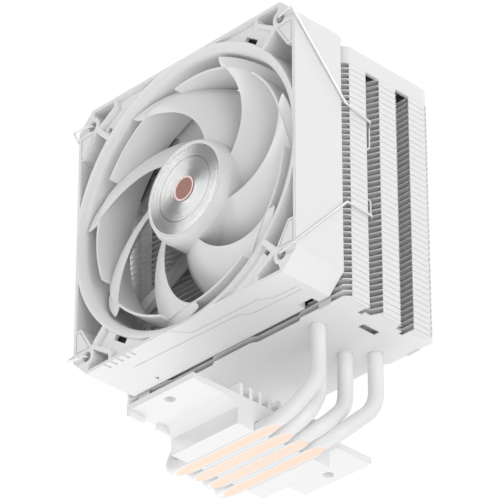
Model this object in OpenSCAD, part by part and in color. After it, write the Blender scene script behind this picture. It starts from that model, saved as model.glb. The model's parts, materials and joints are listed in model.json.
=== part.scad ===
// Tower cooler for a processor: a finned tower on four heat pipes, with one axial fan in front.
// The origin is the middle of the contact face. The fan faces -Y and the tower stands up along +Z.

/* [Fan] */
// Side of the square fan frame
fan_size = 120; // [110:1:140]
// Depth of the fan frame
fan_depth = 25; // [24:0.5:30]
// Height of the fan axis above the contact face
fan_axis_z = 104.3; // [100:0.1:120]
// Distance from the contact centre forward to the front of the fan
fan_front = 36; // [30:0.5:45]
// Cut on the four corners of the frame
frame_cut = 7.5; // [5:0.5:9]
// Outer wall of the frame
frame_wall = 1.4; // [1:0.1:2]
// Distance of the corner holes from the frame's sides
hole_edge = 7.5; // [7:0.1:9]
// Diameter of the corner holes
hole_d = 4.3; // [4:0.1:5]
// Wall between the air throat and the frame's sides
throat_wall = 3; // [2.5:0.1:4]
// Radius of the rounded inlet lip
lip_r = 3.4; // [2.5:0.1:3.6]
// Thickness of the rubber spacers behind the frame
pad_t = 1.4; // [1:0.1:3]

/* [Impeller] */
// Number of blades
blade_count = 7; // [5:1:9]
// Gap between the blade tips and the throat
tip_gap = 1.4; // [1:0.1:3]
// Distance from the throat in to the middle of the ring that joins the blades
band_inset = 5.9; // [5:0.1:8]
// Wall of the ring that joins the blades
band_t = 1.1; // [0.8:0.1:1.5]
// Depth of the ring's front edge behind the frame's face
band_front = 2.5; // [2.4:0.1:4]
// Distance of the ring's rear edge from the struts
band_gap = 2.3; // [1.5:0.1:4]
// Turn of the first blade's front edge at the hub
blade_turn = 22; // [0:1:51]
// Angle by which the front edge leads from the hub to the ring
blade_sweep = 45.6; // [30:0.1:60]
// Step by which the tip outside the ring stands forward
tip_step = 1.2; // [0:0.1:2]
// Lead of the pointed tip from the ring outwards
tip_lead = 3; // [0:0.1:6]
// Angle that a blade covers at the hub
chord_root = 60; // [45:1:62]
// Angle that a blade covers at the ring
chord_tip = 38; // [30:1:42]
// Depth of the front edge at the hub
root_front = 5; // [4:0.1:7]
// Depth of the front edge at the ring
ring_front = 2.4; // [2.2:0.1:4]
// Depth of the front edge at the tip
tip_front = 1.5; // [1.3:0.1:3]
// Distance of the blades' rear edge from the struts
blade_gap = 3.5; // [2.5:0.1:5]
// Thickness of a blade in its middle
blade_t = 2; // [1.2:0.1:3]
// Radius of the hub
hub_r = 22; // [21:0.1:24]
// Radius of the hub at its front rim
hub_nose_r = 20.4; // [20:0.1:21]
// Depth of the hub's rim behind the frame's face
hub_front = 0.7; // [0.5:0.1:1.5]
// Distance of the hub's rear edge from the motor seat
hub_gap = 3; // [1:0.1:5]
// Wall of the hub
hub_wall = 1.6; // [1.2:0.1:1.8]
// Radius of the metal trim disc
trim_r = 19.5; // [18:0.1:20]
// Radius of the coloured centre disc
centre_r = 5.2; // [4:0.1:7]

/* [Tower] */
// Number of fins
fin_count = 42; // [20:1:42]
// Pitch of the fins
fin_pitch = 2.535; // [2:0.005:3]
// Thickness of a fin
fin_t = 0.4; // [0.3:0.05:0.6]
// How much wider the fins are than the fan
fin_over = 0; // [-8:0.5:8]
// Depth of a fin
fin_depth = 48; // [46:0.5:56]
// Height of the lowest fin above the contact face
fin_first_z = 42.5; // [42:0.1:60]
// Width of a closed column on the fin side
column_w = 9; // [7:0.1:10]
// Distance between the middles of neighbouring columns
column_pitch = 16.4; // [15.5:0.1:17]
// Depth of the clip grooves between the columns
groove_depth = 4.6; // [4:0.1:5]
// Open seam between one fin's flange and the next fin
seam = 0.2; // [0.1:0.05:0.4]
// Height of the top cover
cover_h = 7.3; // [6:0.1:12]
// Wall of the top cover
cover_wall = 1.5; // [1:0.1:2]

/* [Heat pipes] */
// Diameter of a heat pipe
pipe_d = 6; // [5:0.5:6]
// Pitch of the heat pipes in the base
pipe_pitch = 8; // [7.5:0.1:9]
// Width of the flattened pipe in the base
flat_w = 6.4; // [6.4:0.1:7]
// Height of the flattened pipe in the base
flat_h = 4.8; // [4.6:0.1:5.5]
// Distance from the middle to the corner of the outer pipes' bend
outer_bend_x = 30.5; // [30:0.1:34]
// Distance from the middle to the corner of the inner pipes' bend
inner_bend_x = 32; // [31.5:0.1:34]
// Radius of the bend beside the base
bend_r = 10; // [8:0.5:10.5]
// Radius of the bend below the fins
upper_bend_r = 15; // [10:1:18]
// Distance of the outer pipes from the middle, inside the fins
outer_pipe_x = 36.6; // [33:0.1:40]
// Distance of the inner pipes from the middle, inside the fins
inner_pipe_x = 28.7; // [27:0.1:30]
// Distance between the outer pipes along the fin depth
outer_pipe_y = 30.8; // [28:0.1:34]
// Distance between the inner pipes along the fin depth
inner_pipe_y = 14.2; // [11:0.1:17]
// Height of the upper bend's corner below the lowest fin
bend_drop = 22.5; // [20:0.5:24]

/* [Base] */
// Width of the base block
block_w = 35; // [30:0.5:40]
// Depth of the base block
block_d = 48; // [42:0.5:56]
// Thickness of the fixing ears
ear_t = 2.5; // [2:0.1:4]
// Height of the ears' upper face above the contact face
ear_top = 12.4; // [11:0.1:15]
// Spacing of the two fixing holes
ear_hole_pitch = 83; // [78:0.5:90]
// Diameter of the fixing holes
ear_hole_d = 4.2; // [3.5:0.1:5]
// Material beyond the fixing holes
ear_edge = 5.2; // [4:0.1:8]
// Height of the cooling ribs on the block
rib_h = 5; // [3:0.1:5]
// Pitch of the cooling ribs on the block
rib_pitch = 4.9; // [4:0.1:7]
// Thickness of a cooling rib
rib_t = 1.8; // [1:0.1:2.5]

/* [Wire clips] */
// Diameter of the spring wire
wire_d = 1.3; // [1:0.05:1.5]
// Height of the hooks above and below the fan axis
hook_z = 22; // [15:0.5:30]
// Length of the grip at each hook
grip_l = 10; // [6:0.5:12]

/* [Motor] */
// Diameter of the shaft
shaft_d = 3; // [2.5:0.1:4]
// Outer diameter of the sleeve bearing
bearing_d = 8; // [7:0.1:9]
// Wall of the bearing tube
tube_wall = 1.35; // [1:0.05:2]
// Wall of the steel rotor cup
yoke_t = 1; // [0.6:0.1:1.5]
// Wall of the magnet ring
magnet_t = 1.7; // [1.2:0.1:2.2]
// Air gap between magnet and stator
air_gap = 0.7; // [0.4:0.1:1]
// Room between the coils and the rotor cup's floor
coil_clear = 2.3; // [1:0.1:4]
// Thickness of the circuit board
board_t = 1.2; // [0.8:0.1:1.6]

/* [Fits] */
// Gap of a pressed or seated piece
seat_gap = 0.05; // [0.02:0.01:0.1]
// Gap round a heat pipe
pipe_gap = 0.1; // [0.05:0.01:0.15]
// Radial gap of the shaft in its bearing
run_gap = 0.03; // [0.01:0.01:0.1]
// Free gap between moving and fixed pieces
free_gap = 0.3; // [0.3:0.05:0.5]

/* [Hidden] */
$fn = 64;
eps = 0.01;
over = 1;
white = "whitesmoke";

// Fan frame
half = fan_size / 2;
inner = half - frame_wall;
hole_at = half - hole_edge;
throat_r = half - throat_wall;
hole_r = hole_d / 2;
ring_t = 0.6;
ring_r = throat_r + lip_r + ring_t;
boss_r = 4;
rib_half = 0.85;
rib_turn_in = [20.6, 4.3];
rib_turn = [half, half] - rib_turn_in;
wedge_reach = 21.2;
wedge_end = half - wedge_reach;
wedge_tip = 2.6;
wedge_inset = 2.5;
line_w = 0.3;
line_depth = 0.25;
line_inset = 1;
tick_count = 5;
tick_x = 36;
tick_pitch = 3.4;
tick_w = 1.3;
tick_l = 3.5;
tick_depth = 0.4;
front_seam = [[-7, 1], [-2, 7.2], [32.5, 7.8], [37, 11], [49, 11.5]];
rear_seam = [[-36, 9.5], [20, 10.5], [23, 13.5], [49, 14]];
peg_hole_at = [-35.7, 21.5];
peg_hole_r = 1.2;
peg_hole_depth = 1.2;
web_t = 3;
floor_step = 1.6;
tri_depth = 8;
strut_w = 4.5;
strut_count = 4;
strut_turn = 62;
seat_plate_t = 2.5;
exit_flare = 1.2;
notch_in = 16.6;
notch_x = half - notch_in;
notch_w = 7.2;
notch_l = 3.8;
notch_h = 3;
window_big = [7.4, 2.2];
window_small = [1.6, 2.8];
window_big_in = [24.8, 8.8];
window_big_at = [half, half] - window_big_in;
window_small_in = [16.6, 12.8];
window_small_at = [half, half] - window_small_in;
pad_reach = 31;
pad_inner = 14;
pad_edge = 1;
plug_front = 3.2;

// Rear edges of the impeller
band_rear = fan_depth - web_t - band_gap;
blade_rear = fan_depth - web_t - blade_gap;
hub_rear = fan_depth - seat_plate_t - hub_gap;

// Places of the tower behind the fan
fan_back_y = fan_depth - fan_front;
fin_w = fan_size + fin_over;
fin_front_y = fan_back_y + pad_t;
fin_mid_y = fin_front_y + fin_depth / 2;
fin_top_z = fin_first_z + (fin_count - 1) * fin_pitch + fin_t;
pipe_r = pipe_d / 2;
flange_h = fin_pitch - fin_t - seam;
side_x = fin_w / 2;
slit_w = 2;
slit_depth = 6.4;
tab_in = 11.5;
tab_x = side_x - tab_in;
tab_w = 6;
first_flange = 0.6;
dent_x1 = 10;
dent_x2 = 36;
dent_depth = 1.3;
dent_slope = 2;
tool_slot = [3, 8.6];
tool_slot_in = 12;
tool_slot_x = side_x - tool_slot_in;
collar_h = 1.2;
collar_t = 0.4;
pipe_top = 3.4;
pipe_tip = 1.6;
cover_corner = 4;

// Places of the pipes: distance from the middle and from the fins' middle
pipe_x = [outer_pipe_x, inner_pipe_x, inner_pipe_x, outer_pipe_x];
pipe_dy = [-outer_pipe_y / 2, -inner_pipe_y / 2, inner_pipe_y / 2, outer_pipe_y / 2];
pipe_corner_x = [outer_bend_x, inner_bend_x, inner_bend_x, outer_bend_x];
pipe_axis_z = flat_h / 2;
flat_round = flat_h / 2;
flat_over = 2.5;
flat_end = block_w / 2 + flat_over;
flat_run = 4.5;
flat_sag = 2;
flat_square = 0.75;
pipe_sides = 20;
bend_steps = 9;
upper_steps = 4;
pipe_rows = [0, 1, 2, 3];
middle_row = 1.5;

// Base
ear_under = ear_top - ear_t;
ear_y = ear_hole_pitch / 2 + ear_edge;
skirt_h = 6.6;
skirt_run = 4.6;
rib_count = floor((block_d - rib_t) / rib_pitch) + 1;

// Motor, along the fan axis from the front
hub_face_t = 2;
nose_depth = 4;
trim_t = 0.5;
centre_t = 0.4;
cup_r = hub_r - hub_wall - seat_gap;
cup_front = hub_front + nose_depth + seat_gap;
cup_inset = 1;
cup_rear = hub_rear - cup_inset;
magnet_r = cup_r - yoke_t - seat_gap;
magnet_front = cup_front + yoke_t + seat_gap;
magnet_inset = 0.4;
magnet_rear = cup_rear - magnet_inset;
stator_r = magnet_r - magnet_t - air_gap;
bush_r = 3.5;
bush_length = 1.2;
bush_rear = cup_front + yoke_t + bush_length;
tube_inner = bearing_d / 2 + seat_gap;
tube_outer = tube_inner + tube_wall;
shoulder_w = 1.6;
shoulder_r = tube_outer + shoulder_w;
board_lift = 1.2;
board_rear = fan_depth - seat_plate_t - board_lift;
board_front = board_rear - board_t;
board_inset = 0.6;
board_r = stator_r - board_inset;
insulator_t = 0.8;
stack_lift = 3;
stack_rear = board_front - stack_lift;
tube_clear = 0.6;
tube_front = bush_rear + tube_clear;
bearing_inset = 0.4;
bearing_front = tube_front + bearing_inset;
bearing_rear = board_front + bearing_inset;
clip_front = bearing_rear + free_gap;
clip_t = 0.6;
clip_r = 3.2;
groove_cut = 0.4;
shaft_r = shaft_d / 2;
shaft_front = hub_front + hub_face_t + seat_gap;
cap_t = 1.6;
cap_front = fan_depth - cap_t;
shaft_rear = cap_front - free_gap;
pole_count = 4;
pole_w = 5;
pole_tip_t = 2;
pole_gap = 5;
core_ring = 2.6;
coil_t = 2.4;
coil_inset = 0.8;
stack_front = cup_front + yoke_t + coil_clear + coil_t / 2 + seat_gap + insulator_t;
stack_h = stack_rear - stack_front;
ledge_r = 10;
ledge_t = 1.6;

// Turns a piece drawn along the fan axis, front first, into its place
module on_fan_axis() {
    translate([0, -fan_front, fan_axis_z]) rotate([-90, 0, 0]) children();
}

// One copy in each corner of the fan, drawn for the corner with both values positive
module four_corners() {
    for (turn = [0, 1])
        rotate(180 * turn)
            children();
    for (turn = [0, 1])
        rotate(180 * turn) mirror([1, 0])
            children();
}

// A round tube piece between two depths
module ring(outer_r, inner_r, from, to) {
    translate([0, 0, from]) difference() {
        cylinder(r = outer_r, h = to - from);
        translate([0, 0, -eps]) cylinder(r = inner_r, h = to - from + 2 * eps);
    }
}

// Outline of the frame with its cut corners
module frame_outline(size, cut) {
    a = size / 2;
    b = a - cut;
    polygon([[-b, -a], [b, -a], [a, -b], [a, b], [b, a], [-b, a], [-a, b], [-a, -b]]);
}

// Deep pocket between the ring, the side wall, the wedge pad and the diagonal rib
module side_pocket() {
    difference() {
        polygon([[inner, 0], [inner, wedge_end], [inner - wedge_tip, wedge_end],
            [hole_at - wedge_inset, hole_at - boss_r],
            [hole_at - boss_r, hole_at - boss_r - 2 * rib_half], [0, -2 * rib_half]]);
        circle(r = ring_r);
    }
}

// Shallow floor between the ring, the diagonal rib and the bent rib to the upper edge
module shallow_floor() {
    difference() {
        polygon([[0, inner], [rib_turn.x - rib_half, inner], rib_turn - [rib_half, rib_half],
            [hole_at - boss_r - rib_half, hole_at - boss_r + rib_half],
            [hole_at - boss_r - 2 * rib_half, hole_at - boss_r], [0, 2 * rib_half]]);
        circle(r = ring_r);
    }
}

// Three-sided pocket between that rib, the upper wall and the screw boss
module boss_pocket() {
    difference() {
        polygon([[rib_turn.x + rib_half, inner], [hole_at - rib_half, inner],
            [hole_at - boss_r + rib_half, hole_at - boss_r / 2], rib_turn + [rib_half, rib_half / 2]]);
        translate([hole_at, hole_at]) circle(r = boss_r);
    }
}

// Fine line cut round the wedge pad beside a screw boss
module wedge_line() {
    low = wedge_end + line_inset;
    high = hole_at - boss_r + line_inset / 2;
    left = inner - wedge_tip + line_inset / 2;
    difference() {
        polygon([[inner, low], [left, low], [hole_at - wedge_inset + line_inset, high], [inner, high]]);
        polygon([[inner - line_w, low + line_w], [left + line_w / 2, low + line_w],
            [hole_at - wedge_inset + line_inset + 2 * line_w, high - line_w],
            [inner - line_w, high - line_w]]);
    }
}

// A row of thin bars from point to point
module fine_line(points) {
    for (i = [0 : len(points) - 2]) {
        go = points[i + 1] - points[i];
        translate(points[i]) rotate(atan2(go.y, go.x)) translate([-line_w / 2, -line_w / 2])
            square([norm(go) + line_w, line_w]);
    }
}

// Two stepped lines on the lower side, drawn with the width along X and the depth along Y
module side_lines() {
    fine_line(front_seam);
    fine_line(rear_seam);
}

// Slot for a rubber plug, lying along the ring
module window(size, at, spare) {
    translate(at) rotate(atan2(at.y, at.x) - 90)
        square(size + [2 * spare, 2 * spare], center = true);
}

// Both pairs of slots: large ones in two opposite corners, small ones in the others
module windows(spare) {
    for (turn = [0, 1]) {
        rotate(180 * turn) mirror([0, 1]) window(window_big, window_big_at, spare);
        rotate(180 * turn) window(window_small, window_small_at, spare);
    }
}

// Throat of the frame with its rounded inlet and a small flare at the outlet
module air_way() {
    translate([0, 0, -eps]) cylinder(r = throat_r, h = fan_depth + 2 * eps, $fn = 128);
    rotate_extrude($fn = 128) difference() {
        translate([throat_r - eps, -eps]) square([lip_r + eps, lip_r]);
        translate([throat_r + lip_r, lip_r]) circle(r = lip_r);
    }
    translate([0, 0, fan_depth - exit_flare])
        cylinder(r1 = throat_r, r2 = throat_r + exit_flare, h = exit_flare + eps, $fn = 128);
}

// Motor seat with the bearing tube and the struts that carry it
module motor_seat() {
    difference() {
        union() {
            translate([0, 0, fan_depth - seat_plate_t]) cylinder(r = hub_r, h = seat_plate_t);
            translate([0, 0, tube_front]) cylinder(r = tube_outer, h = fan_depth - tube_front);
            translate([0, 0, stack_rear + insulator_t + seat_gap])
                cylinder(r = shoulder_r, h = fan_depth - stack_rear - insulator_t - seat_gap);
            ring(ledge_r + ledge_t, ledge_r, board_rear, fan_depth - seat_plate_t + eps);
            for (i = [0 : strut_count - 1])
                rotate(strut_turn + 360 / strut_count * i)
                    translate([hub_r - over, -strut_w / 2, fan_depth - web_t])
                        cube([throat_r - hub_r + 2 * over, strut_w, web_t]);
        }
        translate([0, 0, tube_front - eps]) cylinder(r = tube_inner, h = fan_depth);
    }
}

module fan_frame() color(white) on_fan_axis() {
    difference() {
        linear_extrude(fan_depth) frame_outline(fan_size, frame_cut);
        air_way();
        translate([0, 0, -eps]) linear_extrude(fan_depth - web_t) four_corners() side_pocket();
        translate([0, 0, -eps]) linear_extrude(floor_step) four_corners() shallow_floor();
        translate([0, 0, -eps]) linear_extrude(tri_depth) four_corners() boss_pocket();
        translate([0, 0, -eps]) linear_extrude(line_depth) four_corners() wedge_line();
        translate([0, half - line_depth, 0]) rotate([-90, 0, 0]) mirror([0, 1, 0])
            linear_extrude(line_depth + over) side_lines();
        translate([peg_hole_at.x, half - peg_hole_depth, peg_hole_at.y]) rotate([-90, 0, 0])
            cylinder(r = peg_hole_r, h = peg_hole_depth + over, $fn = 3);
        for (i = [0 : tick_count - 1])
            translate([-tick_x + (i - (tick_count - 1) / 2) * tick_pitch, half - tick_depth, -eps])
                cube([tick_w, tick_depth + over, tick_l]);
        translate([0, 0, -eps]) linear_extrude(fan_depth + over) windows(0);
        for (x = [-1, 1], y = [-1, 1])
            translate([x * hole_at, y * hole_at, -eps]) cylinder(r = hole_r, h = fan_depth + over);
        translate([notch_x - notch_w / 2, half - notch_h, fan_depth - notch_l])
            cube([notch_w, notch_h + over, notch_l + over]);
    }
    motor_seat();
}

// Outline of one rubber spacer behind a corner of the frame
module pad_outline() {
    difference() {
        polygon([[half - pad_reach, inner - pad_edge], [half - pad_reach, half - pad_inner],
            [half - pad_inner, half - pad_reach], [inner - pad_edge, half - pad_reach],
            [inner - pad_edge, half - frame_cut], [half - frame_cut, inner - pad_edge]]);
        circle(r = throat_r + 2 * exit_flare);
        translate([hole_at, hole_at]) circle(r = hole_r + pad_edge);
    }
}

module rubber_pads() color("dimgray") on_fan_axis() {
    difference() {
        union() {
            translate([0, 0, fan_depth]) linear_extrude(pad_t) four_corners() pad_outline();
            translate([0, 0, plug_front]) linear_extrude(fan_depth + pad_t - plug_front)
                windows(-seat_gap);
        }
        translate([notch_x - notch_w / 2, half - notch_h, fan_depth - notch_l])
            cube([notch_w, notch_h + over, notch_l + pad_t + over]);
    }
}

// A blade is lofted through stations from hub to tip: radius, lead, chord, front depth and camber
blade_u = 8;
tip_u = 2;
blade_v = 10;
blade_root_r = hub_r - hub_wall / 2;
band_r = throat_r - band_inset;
tip_r = throat_r - tip_gap;
lead_even = 0.92;
lead_power = 5;
chord_power = 2.5;
front_power = 4;
root_camber = 0.6;
tip_camber = 0.5;
edge_share = 0.3;
band_bite = band_t / 4;

function inner_station(u) =
    let (r = blade_root_r + (band_r + band_bite - blade_root_r) * u,
        s = max(0, (r - hub_r) / (band_r - hub_r)),
        t = max(0, 1 - s))
    [r, blade_turn + blade_sweep * (lead_even * s + (1 - lead_even) * pow(s, lead_power)),
        chord_tip + (chord_root - chord_tip) * pow(t, chord_power),
        root_front + (ring_front - root_front) * pow(s, front_power), root_camber * t];

function tip_station(u) =
    [band_r - band_bite + (tip_r - band_r + band_bite) * u,
        blade_turn + blade_sweep + tip_step + tip_lead * sin(90 * u),
        chord_tip, ring_front + (tip_front - ring_front) * u, tip_camber * u];

function blade_depth(station, v) =
    station[3] + (blade_rear - station[3]) * (station[4] * v + (1 - station[4]) * v * v);
function blade_half_t(v) = blade_t / 2 * (edge_share + (1 - edge_share) * sin(180 * v));
function blade_point(station, v, side) =
    let (turn = station[1] - station[2] * v)
    [station[0] * cos(turn), -station[0] * sin(turn),
        blade_depth(station, v) + (1 + side) * blade_half_t(v)];

// One ring round a blade at a station: along the front face, then back along the rear face
function blade_ring(station) = concat(
    [for (j = [0 : blade_v]) blade_point(station, j / blade_v, -1)],
    [for (j = [blade_v : -1 : 0]) blade_point(station, j / blade_v, 1)]);

// Ring that joins the blades; under each blade its front is cut down in steps that the blade hides
band_hidden = 20.5;
band_steps = 4;

// Plan of the part of the ring between two angles behind a blade's front edge
module band_sector(lead, from, to) {
    polygon(concat([[0, 0]], [for (q = [from, to]) throat_r * [cos(lead - q), -sin(lead - q)]]));
}

module band() {
    station = inner_station(1);
    difference() {
        ring(band_r + band_t / 2, band_r - band_t / 2, band_front, band_rear);
        for (i = [0 : blade_count - 1], k = [0 : band_steps - 1]) {
            from = band_hidden * k / band_steps;
            v = from / station[2];
            rotate(360 / blade_count * i) translate([0, 0, -over])
                linear_extrude(over + blade_depth(station, v) + 2 * blade_half_t(v))
                    band_sector(station[1], from, band_hidden);
        }
    }
}

module blade() {
    sweep([for (i = [0 : blade_u]) blade_ring(inner_station(i / blade_u))]);
    sweep([for (i = [0 : tip_u]) blade_ring(tip_station(i / tip_u))]);
}

// Hub cup with a bevelled front rim and a recess for the trim disc
module hub_cup() {
    rotate_extrude($fn = 96) difference() {
        polygon([[0, hub_front], [hub_nose_r, hub_front], [hub_r, hub_front + nose_depth],
            [hub_r, hub_rear], [hub_r - hub_wall, hub_rear],
            [hub_r - hub_wall, hub_front + nose_depth], [hub_nose_r - hub_wall, hub_front + hub_face_t],
            [0, hub_front + hub_face_t]]);
        translate([-over, hub_front - over]) square([trim_r + seat_gap + over, trim_t + over]);
    }
}

module impeller() color(white) on_fan_axis() {
    hub_cup();
    band();
    for (i = [0 : blade_count - 1])
        rotate(360 / blade_count * i) blade();
}

module hub_trim_disc() color("silver") on_fan_axis()
    translate([0, 0, hub_front]) cylinder(r = trim_r, h = trim_t, $fn = 96);

module hub_centre_disc() color("rosybrown") on_fan_axis()
    translate([0, 0, hub_front - centre_t]) cylinder(r = centre_r, h = centre_t);

module rotor_cup() color("gray") on_fan_axis() {
    ring(cup_r, bush_r + seat_gap, cup_front, cup_front + yoke_t);
    ring(cup_r, cup_r - yoke_t, cup_front, cup_rear);
}

module magnet_ring() color("dimgray") on_fan_axis()
    ring(magnet_r, magnet_r - magnet_t, magnet_front, magnet_rear);

module shaft() color("silver") on_fan_axis() difference() {
    translate([0, 0, shaft_front]) cylinder(r = shaft_r, h = shaft_rear - shaft_front);
    ring(shaft_r + over, shaft_r - groove_cut, clip_front - seat_gap, clip_front + clip_t + seat_gap);
}

module shaft_bush() color("goldenrod") on_fan_axis()
    ring(bush_r, shaft_r + seat_gap, shaft_front, bush_rear);

module shaft_clip() color("ivory") on_fan_axis()
    ring(clip_r, shaft_r - groove_cut + seat_gap, clip_front, clip_front + clip_t);

module sleeve_bearing() color("goldenrod") on_fan_axis()
    ring(bearing_d / 2, shaft_r + run_gap, bearing_front, bearing_rear);

module bearing_cap() color("dimgray") on_fan_axis()
    translate([0, 0, cap_front]) cylinder(r = tube_inner - seat_gap, h = cap_t);

// Plan of the stator: a ring round the tube, arms and curved pole shoes
module stator_plan(spare) {
    difference() {
        union() {
            circle(r = tube_outer + core_ring + spare);
            for (i = [0 : pole_count - 1])
                rotate(360 / pole_count * i) translate([0, -pole_w / 2 - spare])
                    square([stator_r - pole_tip_t / 2, pole_w + 2 * spare]);
            difference() {
                circle(r = stator_r);
                circle(r = stator_r - pole_tip_t);
                for (i = [0 : pole_count - 1])
                    rotate(360 / pole_count * (i + 0.5)) translate([0, -pole_gap / 2])
                        square([stator_r + over, pole_gap]);
            }
        }
        circle(r = tube_outer + seat_gap);
    }
}

module stator_core() color("slategray") on_fan_axis()
    translate([0, 0, stack_front]) linear_extrude(stack_h) stator_plan(0);

module stator_insulators() color("ivory") on_fan_axis()
    for (z = [stack_front - insulator_t, stack_rear])
        translate([0, 0, z]) linear_extrude(insulator_t) stator_plan(0);

module stator_coils() color("chocolate") on_fan_axis() {
    from = tube_outer + core_ring + coil_inset;
    to = sqrt(pow(stator_r - pole_tip_t, 2) - pow(pole_w / 2 + coil_t, 2)) - free_gap;
    low = stack_front - insulator_t - seat_gap;
    high = stack_rear + insulator_t + seat_gap;
    for (i = [0 : pole_count - 1])
        rotate(360 / pole_count * i) difference() {
            translate([from, -pole_w / 2 - coil_t, low - coil_t / 2])
                cube([to - from, pole_w + 2 * coil_t, high - low + coil_t]);
            translate([from - over, -pole_w / 2 - seat_gap, low])
                cube([to - from + 2 * over, pole_w + 2 * seat_gap, high - low]);
        }
}

module motor_board() color("seagreen") on_fan_axis()
    ring(board_r, shoulder_r + seat_gap, board_front, board_rear);

function unit(v) = v / norm(v);

// Places and directions round one corner of a route, from a by way of p to b
function corner_arc(a, p, b, r, steps) =
    let (go = unit(p - a),
        leave = unit(b - p),
        turn = acos(go * leave),
        inward = (leave - (go * leave) * go) / sin(turn),
        centre = p - r * tan(turn / 2) * go + r * inward)
    [for (k = [0 : steps])
        let (q = turn * k / steps)
        [centre - r * cos(q) * inward + r * sin(q) * go, cos(q) * go + sin(q) * inward]];

// Places and directions along a whole route with rounded corners
function stations(route, radii, steps) =
    let (last = len(route) - 1)
    concat([[route[0], unit(route[1] - route[0])]],
        [for (i = [1 : last - 1])
            each corner_arc(route[i - 1], route[i], route[i + 1], radii[i - 1], steps)],
        [[route[last], unit(route[last] - route[last - 1])]]);

// Adds two cross directions to each station, carried along without twist
function carried(path, side, i = 0) =
    i == len(path) ? [] :
    let (go = path[i][1],
        across = unit(side - (side * go) * go))
    concat([[path[i][0], across, cross(go, across)]], carried(path, across, i + 1));

// A closed solid through rings that all have the same number of points
module sweep(rings) {
    n = len(rings[0]);
    last = len(rings) - 1;
    points = [for (r = rings) each r];
    quads = [for (i = [0 : last - 1], j = [0 : n - 1])
        let (k = (j + 1) % n)
        [i * n + j, (i + 1) * n + j, (i + 1) * n + k, i * n + k]];
    sides = [for (q = quads, three = [[0, 1, 2], [0, 2, 3]]) [for (k = three) q[k]]];
    cap = [for (j = [0 : n / 2 - 2]) each [[j, j + 1, n - 2 - j], [j, n - 2 - j, n - 1 - j]]];
    far_cap = [for (t = cap) [for (k = [2, 1, 0]) last * n + t[k]]];
    polyhedron(points, concat(sides, cap, far_cap));
}

// One wire clip on the right: lies in front of the frame, along its side and hooks in a groove
wire_r = wire_d / 2;
wire_x = max(half, side_x) + wire_r + free_gap;
wire_front_y = -fan_front - wire_r - free_gap;
wire_tip = 4;
wire_tip_y = -fan_front + wire_tip;
corner_out = 1.5;
groove_near_y = fin_mid_y - column_pitch + column_w / 2;
groove_mid_y = fin_mid_y - column_pitch / 2;
grip_inset = 2.3;
grip_x = side_x - grip_inset;
hold_x = side_x - groove_depth + wire_r + free_gap;
hold_y = groove_near_y + wire_r + 3 * free_gap;
grip_end = hook_z - grip_l;
hold_drop = 2;
wire_bend_r = 1.2;
wire_steps = 3;
wire_sides = 8;

function clip_half(s) = [
    [hole_at, wire_tip_y, s * hole_at],
    [hole_at, wire_front_y, s * hole_at],
    [wire_x, wire_front_y - corner_out, s * hole_at],
    [wire_x, fin_front_y, s * hook_z],
    [wire_x, groove_near_y + wire_r + free_gap, s * hook_z],
    [grip_x, groove_mid_y, s * hook_z],
    [grip_x, groove_mid_y, s * grip_end],
    [hold_x, hold_y, s * (grip_end - hold_drop)]];

module wire_clip() translate([0, 0, fan_axis_z]) {
    top = clip_half(1);
    bottom = clip_half(-1);
    route = concat(top, [for (i = [len(bottom) - 1 : -1 : 0]) bottom[i]]);
    radii = [for (i = [1 : len(route) - 2]) wire_bend_r];
    path = carried(stations(route, radii, wire_steps), [1, 0, 0]);
    sweep([for (s = path) [for (k = [0 : wire_sides - 1])
        let (q = 360 / wire_sides * (k + 0.5))
        s[0] + wire_r * (cos(q) * s[1] + sin(q) * s[2])]]);
}

module clip_right() color("lightgray") wire_clip();

module clip_left() color("lightgray") mirror([1, 0, 0]) wire_clip();

// Places of one pipe where it passes the fins, on the right
function pipe_at(i) = [pipe_x[i], fin_mid_y + pipe_dy[i]];

// Outline of a fin, drawn about its own middle
module fin_outline() {
    d = fin_depth / 2;
    end_gap = d - column_pitch - column_w / 2;
    difference() {
        square([fin_w, fin_depth], center = true);
        for (x = [-1, 1], y = [-1, 1]) {
            scale([x, y]) translate([side_x - groove_depth, column_pitch / 2])
                polygon([[0, column_w / 2 - column_pitch / 2 + groove_depth / 2],
                    [groove_depth + over, column_w / 2 - column_pitch / 2],
                    [groove_depth + over, column_pitch / 2 - column_w / 2],
                    [0, column_pitch / 2 - column_w / 2]]);
            scale([x, y]) translate([side_x - slit_depth, column_pitch - column_w / 2 - slit_w])
                square([slit_depth + over, slit_w]);
            scale([x, y]) translate([side_x - end_gap, d - end_gap])
                polygon([[0, end_gap + over], [end_gap + over, 0], [end_gap + over, end_gap + over]]);
            scale([x, y]) polygon([[dent_x1, d + over], [dent_x1, d],
                [dent_x1 + dent_slope, d - dent_depth], [dent_x2 - dent_slope, d - dent_depth],
                [dent_x2, d], [dent_x2, d + over]]);
        }
    }
}

// One fin with its folded flanges, edge tabs and drawn collars round the pipes
module fin(flange) {
    difference() {
        union() {
            linear_extrude(fin_t) difference() {
                translate([0, fin_mid_y]) fin_outline();
                for (x = [-1, 1])
                    translate([x * tool_slot_x, fin_mid_y]) square(tool_slot, center = true);
            }
            for (x = [-1, 1], c = [-1, 0, 1])
                translate([x * (side_x - fin_t / 2), fin_mid_y + c * column_pitch, -flange / 2 + eps])
                    cube([fin_t, column_w, flange + 2 * eps], center = true);
            for (x = [-1, 1], y = [-1, 1])
                translate([x * tab_x, fin_mid_y + y * (fin_depth - fin_t) / 2, -flange / 2 + eps])
                    cube([tab_w, fin_t, flange + 2 * eps], center = true);
            for (x = [-1, 1], i = pipe_rows)
                translate([x * pipe_at(i).x, pipe_at(i).y, fin_t - eps])
                    cylinder(r = pipe_r + pipe_gap + collar_t, h = collar_h + eps);
        }
        for (x = [-1, 1], i = pipe_rows)
            translate([x * pipe_at(i).x, pipe_at(i).y, -over])
                cylinder(r = pipe_r + pipe_gap, h = collar_h + fin_t + 2 * over);
    }
}

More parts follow.
